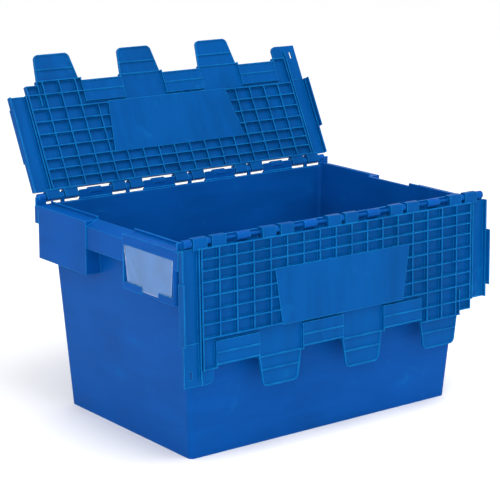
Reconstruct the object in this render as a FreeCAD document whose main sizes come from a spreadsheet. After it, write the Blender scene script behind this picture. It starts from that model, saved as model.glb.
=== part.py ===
"""Attached-lid container: a tapered crate with two interlocking lids on hinge rods.

Frame: X along the 600 mm length, Y along the depth (front -Y, rear +Y), Z up.
The origin is the centre of the flat base.
"""
import FreeCAD, Part
import math
import os
import re

import Sketcher

os.makedirs("parts", exist_ok=True)
doc = FreeCAD.newDocument("AttachedLidContainer")

# Driving dimensions in millimetres and degrees: alias, value, meaning.
DIMENSIONS = [
    ("half_length", 298, "centre to the outer face of an end"),
    ("base_length", 511, "flat base along X"),
    ("base_width", 330, "flat base along Y"),
    ("wall_draft", 3.75, "lean of the four walls in degrees"),
    ("wall", 3, "wall thickness"),
    ("overlap", 1, "how far joined pieces run into each other, and cuts run past"),
    ("end_inner", 265.5, "X inside the end walls where the pieces outside them start"),
    ("side_inner", 175, "Y inside the long walls where the pieces outside them start"),
    ("clear_height", 360, "height above every edge of the container"),
    ("floor_thick", 3.5, "floor thickness"),
    ("corner_radius", 8, "upright corners of the shell"),
    ("block_radius", 5.5, "outermost upright corner of a corner block"),
    ("lip_top", 333, "height of the shell's lip"),
    ("grip_top", 328, "height of the lip over a hand grip"),
    ("block_top", 328, "height of the corner blocks"),
    ("block_side", 189, "Y of the outer side of a corner block"),
    ("block_reach", 255, "X where a corner block meets the long wall"),
    ("plain_start", 47, "Y where the plain corner block starts"),
    ("plain_bottom", 244, "lower edge of the plain corner block"),
    ("label_start", 54, "distance from the middle to the label block"),
    ("label_bottom", 246, "lower edge of the label block"),
    ("label_recess", 2.5, "depth of the label bay"),
    ("grip_bottom", 285, "lower edge of the grip apron"),
    ("grip_edge", 319.5, "upper outer edge of the grip apron"),
    ("grip_inset", 2, "grip apron set back from the end face"),
    ("ledge_inner", 278, "X where the sloping ledge meets the lip"),
    ("lip_near", 104, "Y where the near lip under the card ends"),
    ("lip_far", 146, "Y where the far lip under the card starts"),
    ("lip_height", 11, "height of the lips under the card"),
    ("label_edge", 1, "width of the label bay's near edge"),
    ("label_far_edge", 6, "width of the label bay's far edge"),
    ("axis_y", 197.34, "distance of each hinge line from the middle"),
    ("axis_z", 337.41, "height of both hinge lines"),
    ("rod_radius", 2.5, "hinge rod"),
    ("rod_half", 290, "half the length of a hinge rod"),
    ("running_gap", 0.05, "radial clearance of a lid on its rod"),
    ("hinge_pitch", 124, "spacing of the hinge groups"),
    ("leaf_gap", 9, "space between the two lid leaves of a group"),
    ("leaf_width", 24.5, "width of one lid leaf"),
    ("barrel_radius", 6.2, "container knuckles around the rod"),
    ("barrel_width", 23, "width of a container knuckle"),
    ("middle_radius", 5, "narrow knuckle between two leaves"),
    ("middle_width", 6, "width of the narrow knuckle"),
    ("rail_length", 62, "rim length between two hinge groups"),
    ("side_lip", 328, "height of the shell's lip along the long sides"),
    ("side_lip_half", 272, "half length of that lower lip"),
    ("flange_side", 195.6, "Y of the outer side of the long flanges"),
    ("flange_bottom", 299, "lower edge of the long flanges"),
    ("flange_top", 326.5, "height of the flanges under the lid leaves"),
    ("shelf_top", 325.5, "shelf between the long wall and its flange"),
    ("rail_side", 190.3, "Y of the inner side of the rails"),
    ("rail_bed", 329, "height of the rails' solid foot"),
    ("guard_side", 191.8, "Y of the inner side of the guard walls"),
    ("guard_thick", 2, "thickness of the guard walls"),
    ("guard_top", 342.6, "height of the guard walls"),
    ("post_top", 340, "height of the flange's end posts"),
    ("end_knuckle_in", 279, "inner X of the last knuckle"),
    ("end_knuckle_out", 291, "outer X of the last knuckle"),
    ("lid_edge", 8, "hinge line to the long edge of the lid"),
    ("lid_top", 8.5, "lid top above the rib tips"),
    ("skin", 2.5, "thickness of the lid's skin"),
    ("rib", 1.8, "thickness of a lid rib"),
    ("panel_half", 264, "half length of the ribbed panel"),
    ("panel_depth", 149.5, "depth of the ribbed panel"),
    ("rib_pitch", 31, "spacing of the cross ribs"),
    ("row_middle", 58, "depth of the long rib at the smooth panel's near edge"),
    ("row_near", 16.6, "spacing of the long ribs nearer the hinge"),
    ("row_far", 20.8, "spacing of the long ribs further from the hinge"),
    ("rib_reach", 142, "depth that the cross ribs reach"),
    ("hinge_rise", 8, "hinge line above the rib tips of the closed lid"),
    ("leaf_back", 7.5, "lid leaf behind the hinge line"),
    ("leaf_low", 6.5, "lid leaf below the hinge line"),
    ("leaf_high", 5.5, "lid leaf above the hinge line"),
    ("leaf_round", 2.5, "rounded back edges of a lid leaf"),
    ("finger_pitch", 160, "spacing of the fingers"),
    ("finger_first", 200, "X of the first finger"),
    ("finger_root", 188.5, "depth where a finger leaves the lid"),
    ("finger_rib", 208, "depth of the cross rib under a finger"),
    ("finger_tip", 234, "depth of a finger's tip"),
    ("finger_wide", 39.5, "half width of a finger at its root"),
    ("rib_half", 35.5, "half length of that cross rib"),
    ("finger_narrow", 32.5, "half width of a finger at its tip"),
    ("finger_radius", 9, "corners of a finger's tip"),
    ("finger_inner_radius", 7.2, "corners of the hollow under a finger"),
    ("finger_skin", 2, "thickness of a finger inside its rim"),
    ("finger_under", 4, "underside of a finger's root and cross rib"),
    ("tip_under", 4.8, "underside of a finger's rim and of the arm"),
    ("root_half", 42.5, "half width of a finger's raised root"),
    ("strip_edge", 183.5, "depth of the lid between two fingers"),
    ("strip_top", 4, "top of the lowered strip between fingers"),
    ("strip_under", 1.5, "underside of the lowered strip"),
    ("strip_rib", 165.5, "depth of the rib under the strip"),
    ("window_wide", 130, "half width of the smooth panel near the hinge"),
    ("window_narrow", 117, "half width of the smooth panel away from it"),
    ("window_start", 58.5, "depth where the smooth panel starts"),
    ("short_flange", 166.5, "depth of the end flange at the short end"),
    ("short_step", 181.5, "depth of the lid beside that flange"),
    ("long_flange", 146.3, "depth of the end flange at the long end"),
    ("arm_reach", 210, "depth of the arm at the long end"),
    ("arm_half", 295, "half length to the arm's outer side"),
    ("arm_inner", 243.8, "inner side of the arm"),
    ("half_root", 26, "width of the half root beside the arm"),
    ("skirt_deep", 6, "deeper part of the end skirt"),
    ("skirt_start", 56, "depth where the deeper skirt starts"),
    ("skirt_gap", 0.6, "space between the end face and the deeper skirt"),
    ("skirt_swell", 2.4, "outer side of the deeper skirt beyond the end face"),
    ("channel_gap", 3, "space between the panel's end and the channel rib"),
    ("seal_x", 283.5, "X of the seal slot in the arm"),
    ("seal_width", 5, "width of the seal slot"),
    ("seal_start", 186.5, "near end of the seal slot"),
    ("seal_end", 198.5, "far end of the seal slot"),
    ("rear_open", 116.9, "rear lid, degrees from closed"),
    ("front_open", 268.4, "front lid, degrees from closed"),
    ("card_thick", 0.6, "label card"),
    ("cover_thick", 0.8, "clear cover over the card"),
    ("card_top", 312.5, "upper edge of the cover"),
    ("card_bottom", 250, "lower edge of the cover"),
    ("card_near", 55.5, "near upper corner of the cover, from the middle"),
    ("card_far", 181, "far upper corner of the cover"),
    ("card_near_foot", 67, "near lower corner of the cover"),
    ("card_far_foot", 176, "far lower corner of the cover"),
    ("card_inset", 0.5, "card inside the cover's outline"),
    ("card_room", 0.1, "space around the cover"),
]

ALIASES = {alias for alias, value, meaning in DIMENSIONS}
HINGE_GROUPS = (-2, -1, 0, 1, 2)
RAILS = (-1.5, -0.5, 0.5, 1.5)
CROSS_RIB_COUNT = 18
FINGERS = (0, 1, 2)
LONG_RIB_DEPTHS = (["lid_edge + rib / 2", "row_middle - 2 * row_near", "row_middle - row_near"]
                   + [f"row_middle + {step} * row_far" for step in range(5)])


def make_sheet():
    """Write the driving dimensions into the spreadsheet."""
    sheet = doc.addObject("Spreadsheet::Sheet", "Sizes")
    for row, (alias, value, meaning) in enumerate(DIMENSIONS, start=1):
        sheet.set(f"A{row}", meaning)
        sheet.set(f"B{row}", str(value))
        sheet.setAlias(f"B{row}", alias)
    doc.recompute()
    return sheet


sizes = make_sheet()


def number(alias):
    """Value of one cell of the spreadsheet."""
    return float(sizes.get(alias))


def formula(text):
    """Expression text with the spreadsheet named before each alias."""
    return re.sub(r"[a-z_]+", lambda word: "Sizes." + word[0] if word[0] in ALIASES else word[0], text)


def block(name, x_range, y_range, z_range):
    """Box between low and high formulas along each axis."""
    item = doc.addObject("Part::Box", name)
    ranges = zip("xyz", ("Length", "Width", "Height"), (x_range, y_range, z_range))
    for axis, size, (low, high) in ranges:
        item.setExpression(f"Placement.Base.{axis}", formula(low))
        item.setExpression(size, formula(f"({high}) - ({low})"))
    return item


def bar(name, radius, x_range, y, z):
    """Round bar along X."""
    item = doc.addObject("Part::Cylinder", name)
    item.Placement.Rotation = FreeCAD.Rotation(FreeCAD.Vector(0, 1, 0), 90)
    item.setExpression("Radius", formula(radius))
    item.setExpression("Height", formula(f"({x_range[1]}) - ({x_range[0]})"))
    item.setExpression("Placement.Base.x", formula(x_range[0]))
    item.setExpression("Placement.Base.y", formula(y))
    item.setExpression("Placement.Base.z", formula(z))
    return item


def outline(sketch, points):
    """Closed polygon whose corners are bound to formulas, measured from the sketch origin."""
    count = len(points)
    corners = []
    for across, up in points:
        across_value = float(sizes.evalExpression(formula(across).replace("Sizes.", "")))
        up_value = float(sizes.evalExpression(formula(up).replace("Sizes.", "")))
        corners.append(FreeCAD.Vector(across_value, up_value, 0))
    for index in range(count):
        sketch.addGeometry(Part.LineSegment(corners[index], corners[(index + 1) % count]))
    for index in range(count):
        sketch.addConstraint(Sketcher.Constraint("Coincident", index, 2, (index + 1) % count, 1))
    for index, (across, up) in enumerate(points):
        for kind, text, value in (("DistanceX", across, corners[index].x),
                                  ("DistanceY", up, corners[index].y)):
            place = sketch.addConstraint(Sketcher.Constraint(kind, -1, 1, index, 1, value))
            sketch.setExpression(f"Constraints[{place}]", formula(text))


def plate(name, points, z_range):
    """Flat plate: an outline in X and Y, extruded along Z."""
    sketch = doc.addObject("Sketcher::SketchObject", name + "_outline")
    outline(sketch, points)
    sketch.setExpression("Placement.Base.z", formula(z_range[0]))
    item = doc.addObject("Part::Extrusion", name)
    item.Base = sketch
    item.DirMode = "Custom"
    item.Dir = FreeCAD.Vector(0, 0, 1)
    item.Solid = True
    item.setExpression("LengthFwd", formula(f"({z_range[1]}) - ({z_range[0]})"))
    return item


def profile(name, points, y_range):
    """Bar along Y: an outline in X and Z, extruded along Y."""
    sketch = doc.addObject("Sketcher::SketchObject", name + "_outline")
    outline(sketch, points)
    sketch.Placement.Rotation = FreeCAD.Rotation(FreeCAD.Vector(1, 0, 0), 90)
    sketch.setExpression("Placement.Base.y", formula(y_range[0]))
    item = doc.addObject("Part::Extrusion", name)
    item.Base = sketch
    item.DirMode = "Custom"
    item.Dir = FreeCAD.Vector(0, 1, 0)
    item.Solid = True
    item.setExpression("LengthFwd", formula(f"({y_range[1]}) - ({y_range[0]})"))
    return item


def joined(name, pieces):
    """Union of several objects."""
    item = doc.addObject("Part::MultiFuse", name)
    item.Shapes = pieces
    return item


def without(name, base, tool):
    """Base less tool."""
    item = doc.addObject("Part::Cut", name)
    item.Base = base
    item.Tool = tool
    return item


def turned(name, source):
    """The same object turned half a turn about Z."""
    item = doc.addObject("Part::Compound", name)
    item.Links = [source]
    item.Placement.Rotation = FreeCAD.Rotation(FreeCAD.Vector(0, 0, 1), 180)
    return item


def rounded(name, base, radius, wanted):
    """Fillet on the edges that wanted(edge) picks."""
    doc.recompute()
    item = doc.addObject("Part::Fillet", name)
    item.Base = base
    picked = [place for place, edge in enumerate(base.Shape.Edges, start=1) if wanted(edge)]
    item.Edges = [(place, number(radius), number(radius)) for place in picked]
    return item


def is_upright(edge):
    """True for a straight edge along Z, or leaning a little."""
    if len(edge.Vertexes) != 2:
        return False
    run = edge.Vertexes[1].Point - edge.Vertexes[0].Point
    return abs(run.z) > 0.9 * run.Length


# ---------------------------------------------------------------- container

def tapered_body(name, length, width, bottom, top, radius):
    """Upright tapered solid with rounded corners, wider at the top."""
    body = doc.addObject("PartDesign::Body", name)
    sketch = body.newObject("Sketcher::SketchObject", name + "_foot")
    plane = [item for item in body.Origin.OriginFeatures if item.Role == "XY_Plane"][0]
    sketch.AttachmentSupport = [(plane, "")]
    sketch.MapMode = "FlatFace"
    sketch.setExpression("AttachmentOffset.Base.z", formula(bottom))
    half_x = f"({length}) / 2"
    half_y = f"({width}) / 2"
    outline(sketch, [(f"-{half_x}", f"-{half_y}"), (half_x, f"-{half_y}"),
                     (half_x, half_y), (f"-{half_x}", half_y)])
    pad = body.newObject("PartDesign::Pad", name + "_pad")
    pad.Profile = sketch
    pad.setExpression("Length", formula(f"({top}) - ({bottom})"))
    pad.setExpression("TaperAngle", formula("wall_draft"))
    doc.recompute()
    fillet = body.newObject("PartDesign::Fillet", name + "_corners")
    edges = [f"Edge{place}" for place, edge in enumerate(pad.Shape.Edges, start=1) if is_upright(edge)]
    fillet.Base = (pad, edges)
    fillet.setExpression("Radius", formula(radius))
    body.Tip = fillet
    return body


def plain_block():
    """Hollow corner block without a label, at the left end towards the rear."""
    inner = "-end_inner"
    top = block("plain_top", ("-half_length", inner), ("plain_start", "block_side"),
                ("block_top - wall", "block_top"))
    face = block("plain_face", ("-half_length", "-half_length + wall"),
                 ("plain_start", "block_side"), ("plain_bottom", "block_top"))
    near = block("plain_near", ("-half_length", inner), ("plain_start", "plain_start + wall"),
                 ("plain_bottom", "block_top"))
    far = block("plain_far", ("-half_length", "-block_reach"), ("block_side - wall", "block_side"),
                ("plain_bottom", "block_top"))
    cap = block("plain_cap", ("-half_length", "-block_reach"),
                ("side_inner", "block_side"), ("block_top - wall", "block_top"))
    back = block("plain_back", ("-block_reach - wall", "-block_reach"),
                 ("side_inner", "block_side"), ("plain_bottom", "block_top"))
    whole = joined("plain_block", [top, face, near, far, cap, back])
    return rounded("plain_block_round", whole, "block_radius", is_outer_corner)


def is_outer_corner(edge):
    """True for the block's outermost upright edge."""
    middle = edge.CenterOfMass
    at_end = abs(abs(middle.x) - number("half_length")) < 0.01
    at_side = abs(abs(middle.y) - number("block_side")) < 0.01
    return is_upright(edge) and at_end and at_side


def label_block():
    """Hollow corner block with the label bay, at the left end towards the front."""
    inner = "-end_inner"
    bay = "-half_length + label_recess"
    whole_y = ("-block_side", "-label_start")
    whole_z = ("label_bottom", "block_top")
    top = block("label_top", ("-half_length", inner), whole_y, ("block_top - wall", "block_top"))
    face = block("label_face", (bay, f"{bay} + wall"), whole_y, whole_z)
    near = block("label_near", ("-half_length", inner), ("-label_start - wall", "-label_start"), whole_z)
    far = block("label_far", ("-half_length", "-block_reach"),
                ("-block_side", "-block_side + wall"), whole_z)
    cap = block("label_cap", ("-half_length", "-block_reach"),
                ("-block_side", "-side_inner"), ("block_top - wall", "block_top"))
    back = block("label_back", ("-block_reach - wall", "-block_reach"),
                 ("-block_side", "-side_inner"), whole_z)
    frame = ("-half_length", bay)
    band = block("label_band", frame, whole_y, ("card_top + card_room", "block_top"))
    near_rail = block("label_near_rail", frame, ("-label_start - label_edge", "-label_start"), whole_z)
    far_rail = block("label_far_rail", frame, ("-block_side", "-block_side + label_far_edge"), whole_z)
    lip_z = ("label_bottom", "label_bottom + lip_height")
    near_lip = block("label_near_lip", frame, ("-lip_near", "-label_start"), lip_z)
    far_lip = block("label_far_lip", frame, ("-block_side", "-lip_far"), lip_z)
    pocket_room = block("label_pocket_room", (f"{bay} - cover_thick - card_thick - card_room", bay),
                        ("-card_far - card_room", "-card_near + card_room"),
                        ("card_bottom - card_room", "card_top + card_room"))
    whole = joined("label_block", [top, face, near, far, cap, back, band,
                                   near_rail, far_rail, near_lip, far_lip])
    smooth = rounded("label_block_round", whole, "block_radius", is_outer_corner)
    return without("label_block_cut", smooth, pocket_room)


def grip():
    """Hand grip between the two blocks of the left end: a sloping ledge with an apron."""
    face = "-half_length + grip_inset"
    slope = [(face, "grip_bottom"), (f"{face} + wall", "grip_bottom"),
             (f"{face} + wall", "grip_edge - wall"), ("-end_inner", "grip_top - wall"),
             ("-end_inner", "grip_top"), ("-ledge_inner", "grip_top"),
             (face, "grip_edge")]
    return profile("grip", slope, ("-label_start", "plain_start"))


def knuckle(name, x_range, radius):
    """Ring around the front rod with a foot that stands on the shelf."""
    foot = block(name + "_foot", x_range, ("-flange_side", "-guard_side"), ("shelf_top - wall", "axis_z"))
    ring = bar(name + "_ring", radius, x_range, "-axis_y", "axis_z")
    return [foot, ring]


def hinge_rail():
    """Flange, shelf and knuckles along the front rim, which carry the front hinge rod."""
    span = ("-half_length", "half_length")
    pieces = [
        block("flange", span, ("-flange_side", "-flange_side + wall"), ("flange_bottom", "flange_top")),
        block("shelf", span, ("-flange_side", "-side_inner"), ("shelf_top - wall", "shelf_top")),
    ]
    for place in RAILS:
        middle = f"{place} * hinge_pitch"
        tag = f"rail{len(pieces)}"
        rail_span = (f"{middle} - rail_length / 2", f"{middle} + rail_length / 2")
        pieces.append(block(tag, rail_span, ("-flange_side", "-rail_side"),
                            ("shelf_top - wall", "rail_bed")))
        pieces.append(block(tag + "_guard", rail_span, ("-guard_side - guard_thick", "-guard_side"),
                            ("rail_bed - overlap", "guard_top")))
        pieces += knuckle(tag, (f"{middle} - barrel_width / 2", f"{middle} + barrel_width / 2"),
                          "barrel_radius")
    for place in HINGE_GROUPS:
        middle = f"{place} * hinge_pitch"
        narrow_span = (f"{middle} - middle_width / 2", f"{middle} + middle_width / 2")
        pieces += knuckle(f"narrow{place + 2}", narrow_span, "middle_radius")
    for side, low, high in (("left", "-end_knuckle_out", "-end_knuckle_in"),
                            ("right", "end_knuckle_in", "end_knuckle_out")):
        pieces += knuckle(side + "_end", (low, high), "barrel_radius")
    for side, low, high in (("left", "-half_length", "-end_knuckle_in"),
                            ("right", "end_knuckle_in", "half_length")):
        pieces.append(block(side + "_post", (low, high), ("-guard_side - guard_thick", "-guard_side"),
                            ("shelf_top - wall", "post_top")))
    for side, low, high in (("left", "-half_length", "-half_length + wall"),
                            ("right", "half_length - wall", "half_length")):
        pieces.append(block(side + "_cap", (low, high), ("-flange_side", "-block_side + wall"),
                            ("flange_bottom", "flange_top")))
    return joined("hinge_rail", pieces)


def rim_openings():
    """Lower lip along the front wall and over the left grip."""
    side = block("side_slot", ("-side_lip_half", "side_lip_half"), ("-block_side", "-side_inner"),
                 ("side_lip", "clear_height"))
    grip_slot = block("grip_slot", ("-half_length", "-end_inner"),
                      ("-label_start", "plain_start"), ("grip_top", "clear_height"))
    return joined("rim_openings", [side, grip_slot])


def container():
    """The crate: shell, end blocks, grips and hinge rails in one moulding."""
    outer = tapered_body("shell_outer", "base_length", "base_width", "0", "lip_top", "corner_radius")
    cavity = tapered_body("shell_cavity", "base_length - 2 * wall", "base_width - 2 * wall",
                          "floor_thick", "clear_height", "corner_radius - wall")
    openings = rim_openings()
    lowered = without("shell_lowered", outer,
                      joined("all_openings", [openings, turned("far_openings", openings)]))
    end = joined("left_end", [plain_block(), label_block(), grip()])
    rail = hinge_rail()
    whole = joined("container_whole", [lowered, end, turned("right_end", end),
                                       rail, turned("rear_rail", rail)])
    bore = bar("rod_bore", "rod_radius", ("-rod_half", "rod_half"), "-axis_y", "axis_z")
    tools = joined("container_tools", [cavity, bore, turned("rear_bore", bore)])
    return without("container_body", whole, tools)


# ---------------------------------------------------------------------- lid
# The lid's own frame is the front lid's when closed: X along the hinge line, Y away
# from it and Z up, with the rib tips at Z = 0 and the hinge line hinge_rise above them.

def lid_ribs():
    """Grid of ribs under the panel and under the root of the first finger."""
    pieces = []
    for place in range(CROSS_RIB_COUNT):
        middle = f"(({CROSS_RIB_COUNT} - 1) / 2 - {place}) * rib_pitch"
        reach = "rib_reach"
        if place == 0:
            reach = "short_step"
        elif place < 4:
            reach = "finger_root"
        pieces.append(block(f"cross_rib{place}", (f"{middle} - rib / 2", f"{middle} + rib / 2"),
                            ("lid_edge", reach), ("0", "lid_top - overlap")))
    for place, depth in enumerate(LONG_RIB_DEPTHS):
        pieces.append(block(f"long_rib{place}", ("-panel_half", "panel_half"),
                            (f"{depth} - rib / 2", f"{depth} + rib / 2"), ("0", "lid_top - overlap")))
    pieces.append(block("root_rib", ("finger_first - root_half", "panel_half"),
                        ("strip_rib - rib / 2", "strip_rib + rib / 2"), ("0", "lid_top - overlap")))
    pieces.append(block("root_end_rib", ("finger_first - root_half", "finger_first + root_half"),
                        ("finger_root - rib", "finger_root"), ("0", "lid_top - overlap")))
    return pieces


def window_points(margin):
    """Smooth trapezoid in the middle of the panel, grown by a margin."""
    near = f"window_start - {margin}"
    far = f"rib_reach + {margin}"
    return [(f"-window_wide - {margin}", near), (f"window_wide + {margin}", near),
            (f"window_narrow + {margin}", far), (f"-window_narrow - {margin}", far)]


def ribbed_panel():
    """Ribbed panel with the smooth recessed tray in its middle."""
    skin = block("panel_skin", ("-panel_half", "panel_half"), ("lid_edge", "panel_depth"),
                 ("lid_top - skin", "lid_top"))
    ribbed = joined("panel_ribbed", [skin] + lid_ribs())
    opening = plate("tray_opening", window_points("0"), ("-overlap", "lid_top + overlap"))
    rim = plate("tray_rim", window_points("rib"), ("0", "lid_top"))
    hollow = plate("tray_hollow", window_points("0"), ("skin", "lid_top + overlap"))
    return [without("panel_open", ribbed, opening), without("tray", rim, hollow)]


def lid_leaves():
    """Hinge leaves that wrap the rod, two in each group."""
    pieces = []
    for place in HINGE_GROUPS:
        for side in (-1, 1):
            middle = f"{place} * hinge_pitch + {side} * (leaf_gap + leaf_width) / 2"
            span = (f"{middle} - leaf_width / 2", f"{middle} + leaf_width / 2")
            tag = f"leaf{len(pieces)}"
            leaf = block(tag, span, ("-leaf_back", "lid_edge"),
                         ("hinge_rise - leaf_low", "hinge_rise + leaf_high"))
            pieces.append(rounded(tag + "_round", leaf, "leaf_round", is_leaf_back))
            pieces.append(block(tag + "_arm", span, ("0", "lid_edge + rib"),
                                ("hinge_rise - leaf_low", "lid_top")))
    return pieces


def is_leaf_back(edge):
    """True for the two long edges at a leaf's back."""
    middle = edge.CenterOfMass
    return abs(middle.y + number("leaf_back")) < 0.01 and not is_upright(edge)


def finger_plate(name, middle, root, margin, z_range, radius):
    """Tapered plate with a round tip, smaller than the finger's outline by a margin."""
    tip = f"finger_tip - {margin}"
    points = [(f"{middle} - finger_wide + {margin}", root),
              (f"{middle} + finger_wide - {margin}", root),
              (f"{middle} + finger_narrow - {margin}", tip),
              (f"{middle} - finger_narrow + {margin}", tip)]
    return rounded(name + "_round", plate(name, points, z_range), radius, is_finger_corner)


def fingers():
    """Tapered fingers, each with a raised root, and a rim and one cross rib underneath."""
    pieces = []
    for place in FINGERS:
        middle = f"(finger_first - {place} * finger_pitch)"
        outer = finger_plate(f"finger{place}", middle, "finger_root - overlap", "0",
                             ("tip_under", "lid_top"), "finger_radius")
        hollow = finger_plate(f"finger_hollow{place}", middle, "finger_root", "rib",
                              ("0", "lid_top - finger_skin"), "finger_inner_radius")
        pieces.append(without(f"finger_shell{place}", outer, hollow))
        pieces.append(block(f"finger_rib{place}", (f"{middle} - rib_half", f"{middle} + rib_half"),
                            ("finger_rib - rib / 2", "finger_rib + rib / 2"),
                            ("finger_under", "lid_top - overlap")))
        pieces.append(block(f"root_skin{place}", (f"{middle} - root_half", f"{middle} + root_half"),
                            ("panel_depth - rib", "finger_root"), ("lid_top - skin", "lid_top")))
        for side in (-1, 1):
            wall_middle = f"{middle} + {side} * (root_half - rib / 2)"
            pieces.append(block(f"root_wall{place}_{side + 1}",
                                (f"{wall_middle} - rib / 2", f"{wall_middle} + rib / 2"),
                                ("panel_depth - rib", "finger_root"), ("strip_under", "lid_top")))
        pieces.append(block(f"root_front{place}", (f"{middle} - root_half", f"{middle} + root_half"),
                            ("finger_root - rib", "finger_root"), ("finger_under", "lid_top")))
    return pieces


def is_finger_corner(edge):
    """True for the two upright edges at a finger's tip."""
    return is_upright(edge) and edge.CenterOfMass.y > number("finger_rib")


def strips():
    """Lowered strips between the fingers, where the other lid's fingers land."""
    pieces = []
    for place in FINGERS:
        middle = f"(finger_first - finger_pitch / 2 - {place} * finger_pitch)"
        span = (f"{middle} - finger_pitch / 2 + root_half - rib",
                f"{middle} + finger_pitch / 2 - root_half + rib")
        pieces.append(block(f"strip{place}", span, ("panel_depth - rib", "strip_edge"),
                            ("strip_under", "strip_top")))
        pieces.append(block(f"strip_wall{place}", span, ("panel_depth - rib", "panel_depth"),
                            ("strip_under", "lid_top")))
        pieces.append(block(f"strip_lip{place}", span, ("strip_edge - rib", "strip_edge"),
                            ("0", "strip_top")))
        pieces.append(block(f"strip_rib{place}", span, ("strip_rib - rib / 2", "strip_rib + rib / 2"),
                            ("0", "strip_top - overlap")))
    return pieces


def short_end():
    """Flange and skirt at the lid's short end."""
    return [
        block("short_root", ("finger_first + root_half - rib", "panel_half"),
              ("panel_depth - rib", "short_step"), ("lid_top - skin", "lid_top")),
        block("short_root_edge", ("finger_first + root_half - rib", "panel_half"),
              ("short_step - rib", "short_step"), ("0", "lid_top")),
        block("short_root_side", ("panel_half - rib", "panel_half"), ("lid_edge", "short_step"),
              ("0", "lid_top")),
        block("short_flange", ("panel_half - rib", "half_length"), ("lid_edge", "short_flange"),
              ("lid_top - skin", "lid_top")),
        block("short_skirt", ("half_length - skin", "half_length"), ("lid_edge", "short_flange"),
              ("0", "lid_top")),
        block("short_deep_top", ("half_length - skin", "half_length + skirt_swell"),
              ("skirt_start", "long_flange"), ("overlap", "lid_top - overlap")),
        block("short_deep", ("half_length + skirt_gap", "half_length + skirt_swell"),
              ("skirt_start", "long_flange"), ("-skirt_deep", "lid_top - overlap")),
        block("short_edge", ("panel_half", "half_length"), ("short_flange - rib", "short_flange"),
              ("tip_under", "lid_top")),
        block("short_channel", ("panel_half + channel_gap", "panel_half + channel_gap + rib"),
              ("lid_edge", "short_flange"), ("0", "lid_top - overlap")),
    ]


def long_end():
    """Flange, skirt and arm at the lid's long end, with the slot for a seal."""
    arm = block("arm_skin", ("-arm_half", "-arm_inner"), ("panel_depth - rib", "arm_reach"),
                ("lid_top - skin", "lid_top"))
    seal = block("seal_slot", ("-seal_x - seal_width / 2", "-seal_x + seal_width / 2"),
                 ("seal_start", "seal_end"), ("-overlap", "lid_top + overlap"))
    arm_floor = block("arm_floor", ("-arm_half", "-panel_half"), ("long_flange", "arm_reach"),
                      ("tip_under", "lid_top - overlap"))
    solid_arm = joined("arm_solid", [arm, arm_floor])
    round_arm = rounded("arm_round", solid_arm, "finger_radius", is_arm_corner)
    half_finger = block("half_finger", ("-panel_half", "-arm_inner"), ("finger_root - rib", "arm_reach"),
                        ("finger_under", "lid_top - overlap"))
    return [
        without("arm", round_arm, seal),
        block("half_root", ("-panel_half", "-panel_half + half_root"), ("panel_depth - rib", "finger_root"),
              ("lid_top - skin", "lid_top")),
        block("half_root_wall", ("-panel_half + half_root - rib", "-panel_half + half_root"),
              ("panel_depth - rib", "finger_root"), ("strip_under", "lid_top")),
        block("half_root_front", ("-panel_half", "-panel_half + half_root"),
              ("finger_root - rib", "finger_root"), ("strip_under", "lid_top")),
        rounded("half_finger_round", half_finger, "finger_radius", is_arm_corner),
        block("long_flange", ("-half_length", "-panel_half + rib"), ("lid_edge", "long_flange"),
              ("lid_top - skin", "lid_top")),
        block("long_skirt", ("-half_length", "-half_length + skin"), ("lid_edge", "long_flange"),
              ("0", "lid_top")),
        block("long_deep_top", ("-half_length - skirt_swell", "-half_length + skin"),
              ("skirt_start", "long_flange"), ("overlap", "lid_top - overlap")),
        block("long_deep", ("-half_length - skirt_swell", "-half_length - skirt_gap"),
              ("skirt_start", "long_flange"), ("-skirt_deep", "lid_top - overlap")),
        block("long_side", ("-panel_half", "-panel_half + rib"), ("lid_edge", "finger_root"),
              ("0", "lid_top")),
        block("long_channel", ("-panel_half - channel_gap - rib", "-panel_half - channel_gap"),
              ("lid_edge", "seal_end"), ("0", "lid_top - overlap")),
    ]


def is_arm_corner(edge):
    """True for the upright edge at the arm's inner corner."""
    middle = edge.CenterOfMass
    at_inner = abs(middle.x + number("arm_inner")) < 0.01
    return is_upright(edge) and at_inner and abs(middle.y - number("arm_reach")) < 0.01


def lid():
    """One lid in its own frame."""
    pieces = ribbed_panel() + lid_leaves() + fingers() + strips() + short_end() + long_end()
    whole = joined("lid_whole", pieces)
    bore = bar("leaf_bore", "rod_radius + running_gap", ("-half_length", "half_length"), "0", "hinge_rise")
    hung = doc.addObject("Part::Compound", "lid_pattern")
    hung.Links = [without("lid_bored", whole, bore)]
    hung.setExpression("Placement.Base.z", formula("-hinge_rise"))
    return hung


def placed_lid(name, pattern, side, opening):
    """A lid hung on its hinge line; side is -1 at the front and 1 at the rear."""
    item = doc.addObject("Part::Compound", name)
    item.Links = [pattern]
    facing = FreeCAD.Rotation(FreeCAD.Vector(0, 0, 1), 0 if side < 0 else 180)
    swing = FreeCAD.Rotation(FreeCAD.Vector(1, 0, 0), -side * number(opening))
    item.Placement = FreeCAD.Placement(FreeCAD.Vector(0, 0, 0), swing * facing)
    item.setExpression("Placement.Base.y", formula(f"{side} * axis_y"))
    item.setExpression("Placement.Base.z", formula("axis_z"))
    return item


def hinge_rod(name, side):
    """Rod through all the knuckles and leaves of one long side."""
    return bar(name, "rod_radius", ("-rod_half", "rod_half"), f"{side} * axis_y", "axis_z")


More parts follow.
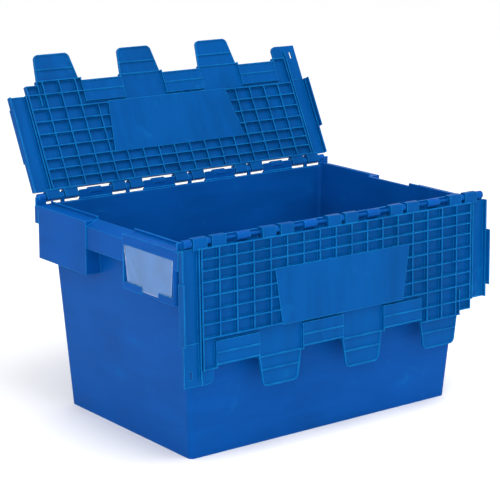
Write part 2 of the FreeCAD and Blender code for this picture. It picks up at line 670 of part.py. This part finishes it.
def label_sheet(name, near, far, margin):
    """Upright sheet in the label bay, a little narrower at its foot."""
    sketch = doc.addObject("Sketcher::SketchObject", name + "_outline")
    outline(sketch, [(f"-card_near - {margin}", f"card_top - {margin}"),
                     (f"-card_far + {margin}", f"card_top - {margin}"),
                     (f"-card_far_foot + {margin}", f"card_bottom + {margin}"),
                     (f"-card_near_foot - {margin}", f"card_bottom + {margin}")])
    sketch.Placement.Rotation = FreeCAD.Rotation(0.5, 0.5, 0.5, 0.5)
    sketch.setExpression("Placement.Base.x", formula(f"-half_length + label_recess - ({far})"))
    item = doc.addObject("Part::Extrusion", name)
    item.Base = sketch
    item.DirMode = "Custom"
    item.Dir = FreeCAD.Vector(1, 0, 0)
    item.Solid = True
    item.setExpression("LengthFwd", formula(f"({far}) - ({near})"))
    return item


def build():
    """Make every sub-part and return them by node name."""
    pattern = lid()
    pieces = {
        "container_body": container(),
        "front_lid": placed_lid("front_lid", pattern, -1, "front_open"),
        "rear_lid": placed_lid("rear_lid", pattern, 1, "rear_open"),
        "front_hinge_rod": hinge_rod("front_hinge_rod", -1),
        "rear_hinge_rod": hinge_rod("rear_hinge_rod", 1),
        "label_card": label_sheet("label_card", "0", "card_thick", "card_inset"),
        "label_cover": label_sheet("label_cover", "card_thick", "card_thick + cover_thick", "0"),
    }
    for name, piece in pieces.items():
        piece.Label = name
    doc.recompute()
    return pieces


def check_and_write(pieces):
    """Stop on any failed object or bad shape, then write one STEP file for each sub-part."""
    for item in doc.Objects:
        if "Invalid" in item.State or "Error" in item.State:
            raise RuntimeError(f"{item.Name} failed: {item.State}")
    for name, piece in pieces.items():
        shape = piece.Shape
        if shape.isNull() or not shape.isValid() or len(shape.Solids) != 1:
            raise RuntimeError(f"{name}: bad shape, {len(shape.Solids)} solids")
    for name, piece in pieces.items():
        solid = piece.Shape.Solids[0]
        solid.exportStep(f"parts/{name}.step")
        box = solid.BoundBox
        print(f"{name}: {solid.Volume / 1000:.1f} cm3, "
              f"X {box.XMin:.1f}..{box.XMax:.1f}, Y {box.YMin:.1f}..{box.YMax:.1f}, "
              f"Z {box.ZMin:.1f}..{box.ZMax:.1f}")


check_and_write(build())
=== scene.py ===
"""Attached-lid container: materials, floor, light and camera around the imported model."""

import math

import bpy
from mathutils import Matrix, Vector


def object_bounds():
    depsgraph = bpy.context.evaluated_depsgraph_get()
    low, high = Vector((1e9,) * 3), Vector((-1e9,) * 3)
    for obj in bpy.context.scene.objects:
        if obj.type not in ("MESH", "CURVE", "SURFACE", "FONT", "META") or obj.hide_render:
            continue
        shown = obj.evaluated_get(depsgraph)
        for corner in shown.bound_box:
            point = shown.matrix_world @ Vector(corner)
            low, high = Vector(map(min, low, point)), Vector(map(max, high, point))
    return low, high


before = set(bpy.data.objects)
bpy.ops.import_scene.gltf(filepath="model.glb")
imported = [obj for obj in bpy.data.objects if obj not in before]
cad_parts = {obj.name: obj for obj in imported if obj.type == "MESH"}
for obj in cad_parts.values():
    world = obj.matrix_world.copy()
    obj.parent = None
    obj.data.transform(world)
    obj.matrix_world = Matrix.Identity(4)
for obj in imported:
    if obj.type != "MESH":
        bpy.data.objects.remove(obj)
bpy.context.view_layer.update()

# Colours are linear red, green and blue. Lengths are in metres.
CONTAINER_BLUE = (0.001, 0.063, 0.285)
LID_BLUE = (0.0, 0.062, 0.245)
ROD_BLUE = (0.0, 0.058, 0.25)
# Pale blue for the painted highlight along sharp edges, and also the colour of light scuffs and scratches.
HIGHLIGHT_AND_WEAR_BLUE = (0.01, 0.36, 0.80)
CARD_TONE = (0.05, 0.27, 0.72)
FILM_TONES = (0.80, 0.90, 1.0), (0.92, 0.96, 1.0)
FLOOR_TONES = (0.975, 0.975, 0.975), (0.985, 0.985, 0.985)

# Edges: the mesh of each moulding is welded and given a narrow round, and its shading a slightly wider one.
MOULDINGS = "container_body", "front_lid", "rear_lid"
WELD_DISTANCE = 0.00002
ROUND_WIDTH = 0.0005
ROUND_SEGMENTS = 2
SHARP_ANGLE = math.radians(50)
SHADING_RADIUS = 0.0006
BEVEL_SAMPLES = 6
# Cosine between the rounded and the true normal, where the painted edge highlight starts and where it is
# full.
EDGE_START = 0.97
EDGE_FULL = 0.70

# Camera: a long lens, seen from the front left and a little above.
SENSOR_MM = 36
LENS_MM = 129.154
CLIP_END = 50
YAW = math.radians(-37.39)
PITCH = math.radians(13.63)
ROLL = math.radians(0.203)
DISTANCE = 2.87749
LOOK_AT = Vector((0, 0, 0.2))
SIDEWAYS = -0.01627
UPWARDS = 0.04823

# White square lights: name, place, side in metres and power in watts.
LIGHTS = (
    ("key", (-2.2, -2.0, 1.0), 1.6, 30),
    ("fill", (0.8, -2.8, 1.0), 1.8, 3),
    ("top", (0.2, -0.8, 2.6), 1.8, 42),
)
WORLD_STRENGTH = 1.0
FLOOR_SIZE = 30


# ------------------------------------------------------------ material nodes

class Nodes:
    """Short names for building one material's node tree."""

    def __init__(self, name):
        self.material = bpy.data.materials.new(name)
        self.material.use_nodes = True
        self.tree = self.material.node_tree
        self.shader = self.tree.nodes["Principled BSDF"]
        self.place = self.add("ShaderNodeTexCoord").outputs["Object"]

    def add(self, kind, **settings):
        """New node with some of its settings."""
        node = self.tree.nodes.new(kind)
        for key, value in settings.items():
            setattr(node, key, value)
        return node

    def link(self, source, target):
        """Join an output to an input."""
        self.tree.links.new(source, target)

    def feed(self, **sources):
        """Outputs that drive the shader's own sockets, with underscores for spaces."""
        for name, source in sources.items():
            self.link(source, self.shader.inputs[name.replace("_", " ")])

    def set(self, **values):
        """Plain values on the shader's own sockets, with underscores for spaces."""
        for name, value in values.items():
            self.shader.inputs[name.replace("_", " ")].default_value = value

    def stretched(self, scale):
        """The object's own place, scaled along each axis."""
        mapping = self.add("ShaderNodeMapping")
        mapping.inputs["Scale"].default_value = scale
        self.link(self.place, mapping.inputs["Vector"])
        return mapping.outputs["Vector"]

    def noise(self, scale, detail, stretch=(1, 1, 1), distortion=0.0):
        """Noise value, with its scale in cycles for each metre."""
        node = self.add("ShaderNodeTexNoise")
        self.link(self.stretched(stretch), node.inputs["Vector"])
        node.inputs["Scale"].default_value = scale
        node.inputs["Detail"].default_value = detail
        node.inputs["Distortion"].default_value = distortion
        return node.outputs["Fac"]

    def ramp(self, value, low, high, low_value=0.0, high_value=1.0):
        """Value mapped from one range to another, kept inside it."""
        node = self.add("ShaderNodeMapRange")
        self.link(value, node.inputs["Value"])
        node.inputs["From Min"].default_value = low
        node.inputs["From Max"].default_value = high
        node.inputs["To Min"].default_value = low_value
        node.inputs["To Max"].default_value = high_value
        return node.outputs["Result"]

    def maths(self, operation, first, second):
        """Two values, each a socket or a number, added or multiplied. A sum is kept between 0 and 1."""
        node = self.add("ShaderNodeMath", operation=operation, use_clamp=operation == "ADD")
        for slot, value in enumerate((first, second)):
            if isinstance(value, (int, float)):
                node.inputs[slot].default_value = value
            else:
                self.link(value, node.inputs[slot])
        return node.outputs["Value"]

    def blend(self, factor, first, second):
        """Colour between two colours, each a socket or three numbers."""
        node = self.add("ShaderNodeMix", data_type="RGBA")
        self.link(factor, node.inputs["Factor"])
        for slot, value in (("A", first), ("B", second)):
            socket = [item for item in node.inputs if item.name == slot and item.type == "RGBA"][0]
            if isinstance(value, tuple):
                socket.default_value = (*value, 1)
            else:
                self.link(value, socket)
        return [item for item in node.outputs if item.type == "RGBA"][0]

    def rounded(self, radius):
        """Normal with sharp edges rounded in the shading only."""
        node = self.add("ShaderNodeBevel", samples=BEVEL_SAMPLES)
        node.inputs["Radius"].default_value = radius
        return node.outputs["Normal"]

    def edges(self, radius):
        """1 on sharp edges and 0 on flat faces, from the difference of rounded and true normals."""
        rounded = self.rounded(radius)
        true = self.add("ShaderNodeNewGeometry")
        dot = self.add("ShaderNodeVectorMath", operation="DOT_PRODUCT")
        self.link(rounded, dot.inputs[0])
        self.link(true.outputs["Normal"], dot.inputs[1])
        return self.ramp(dot.outputs["Value"], EDGE_START, EDGE_FULL)

    def bump(self, *layers):
        """Chain of bumps, each a height, a depth in metres and a strength, on rounded edges."""
        normal = self.rounded(SHADING_RADIUS)
        for height, depth, strength in layers:
            node = self.add("ShaderNodeBump")
            node.inputs["Strength"].default_value = strength
            node.inputs["Distance"].default_value = depth
            self.link(height, node.inputs["Height"])
            self.link(normal, node.inputs["Normal"])
            normal = node.outputs["Normal"]
        self.feed(Normal=normal)


def scaled(colour, factor):
    """The same colour, darker below 1 and lighter above it."""
    return tuple(channel * factor for channel in colour)


def moulded_plastic(name, colour, flow):
    """Satin moulded plastic: flow marks, grain, sharp edges lightened partly as painted highlight and
    partly as rubbing, scuffs and fine scratches.
    """
    nodes = Nodes(name)
    clouds = nodes.ramp(nodes.noise(scale=7, detail=3), 0.35, 0.65)
    streaks = nodes.ramp(nodes.noise(scale=9, detail=4, stretch=flow, distortion=0.6), 0.4, 0.62)
    scratches = nodes.noise(scale=60, detail=6, stretch=(1, 1, 14), distortion=1.4)
    scratches = nodes.ramp(scratches, 0.66, 0.72)
    scuffs = nodes.ramp(nodes.noise(scale=26, detail=8, distortion=0.8), 0.62, 0.74)
    grain = nodes.noise(scale=1400, detail=2)
    ripple = nodes.noise(scale=22, detail=2)
    edge = nodes.edges(radius=0.0016)
    patches = nodes.ramp(nodes.noise(scale=45, detail=5), 0.30, 0.62, low_value=0.35, high_value=0.9)
    # Painted highlight along sharp edges, broken into patches that also stand for rubbed plastic.
    edge_highlight_and_rubbing = nodes.maths("MULTIPLY", edge, patches)
    worn = nodes.maths("MULTIPLY", nodes.maths("ADD", scratches, scuffs), 0.07)
    base = nodes.blend(clouds, scaled(colour, 0.88), scaled(colour, 1.08))
    base = nodes.blend(nodes.maths("MULTIPLY", streaks, 0.35), base, scaled(colour, 1.25))
    base = nodes.blend(worn, base, HIGHLIGHT_AND_WEAR_BLUE)
    base = nodes.blend(edge_highlight_and_rubbing, base, HIGHLIGHT_AND_WEAR_BLUE)
    dull = nodes.maths("ADD", scuffs, nodes.maths("MULTIPLY", clouds, 0.4))
    nodes.feed(Base_Color=base, Roughness=nodes.ramp(dull, 0, 1, low_value=0.34, high_value=0.52))
    nodes.bump((grain, 0.00004, 0.35), (ripple, 0.0006, 0.10), (scratches, 0.00003, 0.3))
    nodes.set(Specular_IOR_Level=0.03, IOR=1.49)
    return nodes.material


def coated_card():
    """Blank coated card: fibres, cloudy shades and a soft sheen."""
    nodes = Nodes("coated_card")
    fibres = nodes.noise(scale=260, detail=5, stretch=(1, 1, 3), distortion=1.2)
    fibres = nodes.ramp(fibres, 0.35, 0.7)
    clouds = nodes.ramp(nodes.noise(scale=28, detail=4), 0.3, 0.7)
    base = nodes.blend(clouds, scaled(CARD_TONE, 0.86), scaled(CARD_TONE, 1.14))
    base = nodes.blend(nodes.maths("MULTIPLY", fibres, 0.35), base, scaled(CARD_TONE, 1.3))
    nodes.feed(Base_Color=base, Roughness=nodes.ramp(fibres, 0, 1, low_value=0.5, high_value=0.7))
    nodes.bump((fibres, 0.00005, 0.3))
    return nodes.material


def clear_film():
    """Clear cover: slightly hazy, with fine rubbing marks and a painted highlight along its edges."""
    nodes = Nodes("clear_film")
    haze = nodes.ramp(nodes.noise(scale=40, detail=6, distortion=0.7), 0.35, 0.75)
    marks = nodes.noise(scale=120, detail=5, stretch=(1, 1, 10), distortion=1.0)
    marks = nodes.ramp(marks, 0.62, 0.70)
    base = nodes.blend(haze, *FILM_TONES)
    dull = nodes.maths("ADD", haze, marks)
    nodes.feed(Base_Color=base, Roughness=nodes.ramp(dull, 0, 1, low_value=0.10, high_value=0.34))
    nodes.bump((marks, 0.00002, 0.3), (haze, 0.0002, 0.15))
    # Painted highlight: the whitish film grows nearly opaque along its edges.
    edge = nodes.edges(radius=0.0012)
    nodes.feed(Alpha=nodes.ramp(edge, 0, 1, low_value=0.09, high_value=0.75))
    nodes.set(IOR=1.45, Specular_IOR_Level=0.5)
    return nodes.material


def soften(node):
    """Small round on every sharp edge, as a moulding has."""
    weld = node.modifiers.new("weld", "WELD")
    weld.merge_threshold = WELD_DISTANCE
    bevel = node.modifiers.new("bevel", "BEVEL")
    bevel.limit_method = "ANGLE"
    bevel.angle_limit = SHARP_ANGLE
    bevel.width = ROUND_WIDTH
    bevel.segments = ROUND_SEGMENTS
    bevel.harden_normals = True


def paint(node, material):
    """Give one CAD node its material."""
    node.data.materials.clear()
    node.data.materials.append(material)


# ---------------------------------------------------------- floor and light

def make_floor():
    """Large pale floor."""
    bpy.ops.mesh.primitive_plane_add(size=FLOOR_SIZE, location=(0, 0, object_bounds()[0][2]))
    floor = bpy.context.object
    floor.name = "floor"
    nodes = Nodes("floor")
    patches = nodes.ramp(nodes.noise(scale=3, detail=4), 0.3, 0.7)
    nodes.feed(Base_Color=nodes.blend(patches, *FLOOR_TONES))
    nodes.set(Roughness=0.9, Specular_IOR_Level=0.1)
    floor.data.materials.append(nodes.material)


def area_light(name, place, size, power):
    """Soft square light that faces the middle of the container."""
    data = bpy.data.lights.new(name, "AREA")
    data.size = size
    data.energy = power
    light = bpy.data.objects.new(name, data)
    light.location = place
    aim = LOOK_AT - Vector(place)
    light.rotation_euler = aim.to_track_quat("-Z", "Y").to_euler()
    bpy.context.scene.collection.objects.link(light)


def make_light():
    """Even studio light: a white world, a key from the front left, a weak fill and a wide top light."""
    world = bpy.data.worlds.new("studio")
    world.use_nodes = True
    background = world.node_tree.nodes["Background"]
    background.inputs["Color"].default_value = (1, 1, 1, 1)
    background.inputs["Strength"].default_value = WORLD_STRENGTH
    bpy.context.scene.world = world
    for light in LIGHTS:
        area_light(*light)


# ------------------------------------------------------------------ camera

def make_camera():
    """Camera at the reference angle."""
    level = math.cos(PITCH)
    back = Vector((math.sin(YAW) * level, -math.cos(YAW) * level, math.sin(PITCH)))
    right = Vector((0, 0, 1)).cross(back).normalized()
    up = back.cross(right)
    rolled_right = math.cos(ROLL) * right + math.sin(ROLL) * up
    rolled_up = back.cross(rolled_right)
    data = bpy.data.cameras.new("camera")
    data.sensor_width = SENSOR_MM
    data.lens = LENS_MM
    data.clip_end = CLIP_END
    camera = bpy.data.objects.new("camera", data)
    place = LOOK_AT + back * DISTANCE + rolled_right * SIDEWAYS + rolled_up * UPWARDS
    turn = Matrix((rolled_right, rolled_up, back)).transposed()
    camera.matrix_world = Matrix.Translation(place) @ turn.to_4x4()
    bpy.context.scene.collection.objects.link(camera)
    bpy.context.scene.camera = camera


bpy.context.scene.view_settings.view_transform = "Standard"
make_camera()
make_floor()
make_light()
lid_plastic = moulded_plastic("lid_plastic", LID_BLUE, flow=(6, 1, 1))
body_plastic = moulded_plastic("body_plastic", CONTAINER_BLUE, flow=(1, 1, 5))
rod_plastic = moulded_plastic("rod_plastic", ROD_BLUE, flow=(1, 8, 8))

# Each node's material, and the slot that the record gives it.
FINISHES = {
    "container_body": (body_plastic, "body_plastic"),
    "front_lid": (lid_plastic, "lid_plastic"),
    "rear_lid": (lid_plastic, "lid_plastic"),
    "front_hinge_rod": (rod_plastic, "rod_plastic"),
    "rear_hinge_rod": (rod_plastic, "rod_plastic"),
    "label_card": (coated_card(), "card"),
    "label_cover": (clear_film(), "clear_cover"),
}
for node_name, (material, slot) in FINISHES.items():
    paint(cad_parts[node_name], material)
for node_name in MOULDINGS:
    soften(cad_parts[node_name])
